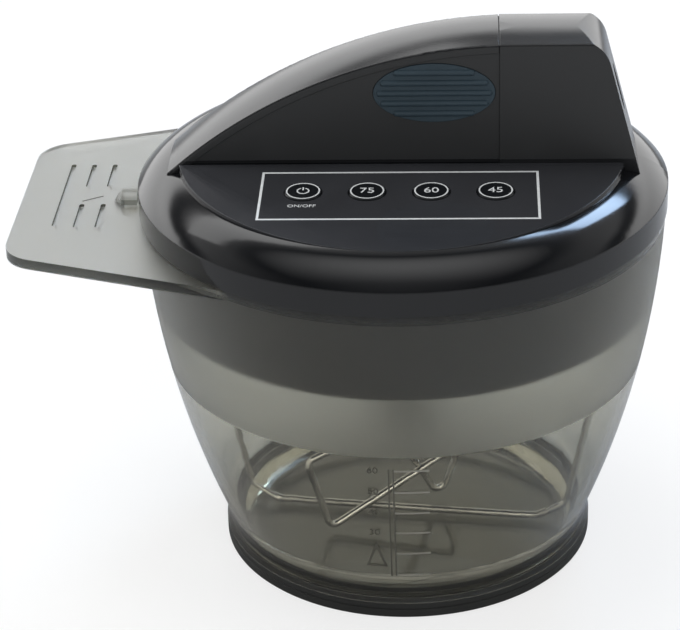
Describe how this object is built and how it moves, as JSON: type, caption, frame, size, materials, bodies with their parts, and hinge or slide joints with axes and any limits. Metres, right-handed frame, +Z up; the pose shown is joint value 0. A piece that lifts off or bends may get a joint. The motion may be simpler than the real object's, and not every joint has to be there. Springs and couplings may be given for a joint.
{
  "type": "electric colour mixing bowl",
  "caption": "Cordless mixing bowl for hair colour: a smoked bowl with a flat handle and a lift-off motor head that turns a wire scraper and beater.",
  "frame": {"origin": "on the bowl's axis, at the table under its foot", "axes": "+Z up along the bowl's axis, -X towards the flat handle, -Y towards the control panel"},
  "size_m": [0.1982, 0.1614, 0.1709],
  "materials": {
    "smoke_clear": "clear smoke-tinted moulding, frosted above the fill line",
    "grey_rubber": "soft matt",
    "black_gloss": "polished black",
    "panel_black": "satin black",
    "spine_gloss": "polished black",
    "grip_rubber": "soft matt, dark blue-grey",
    "button_black": "satin black",
    "wire_steel": "polished stainless",
    "screw_steel": "plain steel",
    "motor_steel": "plated steel",
    "gear_white": "natural acetal",
    "bronze": "sintered bronze",
    "board_green": "solder resist",
    "switch_black": "matt black",
    "cell_wrap": "shrink wrap"
  },
  "bodies": {
    "bowl": {"bowl": "smoke_clear", "foot_ring": "grey_rubber"},
    "head": {"lower_housing": "black_gloss", "upper_housing": "black_gloss", "front_panel": "panel_black", "rear_panel": "panel_black", "spine_cover": "spine_gloss", "rear_cover": "spine_gloss", "front_grip": "grip_rubber", "rear_grip": "grip_rubber", "control_board": "board_green", "key_switches": "switch_black", "board_screws": "screw_steel", "housing_screws": "screw_steel", "gearbox_case": "gear_white", "gearbox_cover": "gear_white", "case_screws": "screw_steel", "double_gear_pin": "screw_steel", "motor": "motor_steel", "lower_bush": "bronze", "upper_bush": "bronze", "shaft_seal": "grip_rubber", "battery_cell": "cell_wrap", "battery_cradle": "switch_black", "charging_socket": "switch_black", "charge_board": "board_green"},
    "stirrer": {"drive_shaft": "wire_steel", "shaft_clip": "screw_steel", "output_gear": "gear_white", "stirrer_hub": "switch_black", "scraper_wire": "wire_steel", "beater_wire": "wire_steel"},
    "double_gear": {"double_gear": "gear_white"},
    "motor_rotor": {"motor_shaft": "screw_steel", "motor_pinion": "bronze"},
    "power_button": {"power_button": "button_black"},
    "button_75": {"button_75": "button_black"},
    "button_60": {"button_60": "button_black"},
    "button_45": {"button_45": "button_black"}
  },
  "joints": [
    {"name": "head_lift", "type": "slide", "parent": "bowl", "child": "head", "axis": [0, 0, 1], "range_m": [0, 0.13]},
    {"name": "stirrer_spin", "type": "hinge", "parent": "head", "child": "stirrer", "pos_m": [0, 0, 0], "axis": [0, 0, 1], "continuous": true},
    {"name": "double_gear_spin", "type": "hinge", "parent": "head", "child": "double_gear", "pos_m": [-0.024, 0, 0], "axis": [0, 0, 1], "continuous": true},
    {"name": "motor_spin", "type": "hinge", "parent": "head", "child": "motor_rotor", "pos_m": [-0.044, 0, 0], "axis": [0, 0, 1], "continuous": true},
    {"name": "power_button_press", "type": "slide", "parent": "head", "child": "power_button", "axis": [0, 0.0489, -0.9988], "range_m": [0, 0.0008], "stiffness_N_per_m": 200, "springref_m": -0.001},
    {"name": "button_75_press", "type": "slide", "parent": "head", "child": "button_75", "axis": [0, 0.0489, -0.9988], "range_m": [0, 0.0008], "stiffness_N_per_m": 200, "springref_m": -0.001},
    {"name": "button_60_press", "type": "slide", "parent": "head", "child": "button_60", "axis": [0, 0.0489, -0.9988], "range_m": [0, 0.0008], "stiffness_N_per_m": 200, "springref_m": -0.001},
    {"name": "button_45_press", "type": "slide", "parent": "head", "child": "button_45", "axis": [0, 0.0489, -0.9988], "range_m": [0, 0.0008], "stiffness_N_per_m": 200, "springref_m": -0.001}
  ],
  "couplings": [
    {"joint": "double_gear_spin", "follows": "stirrer_spin", "ratio": -4},
    {"joint": "motor_spin", "follows": "stirrer_spin", "ratio": 16}
  ]
}
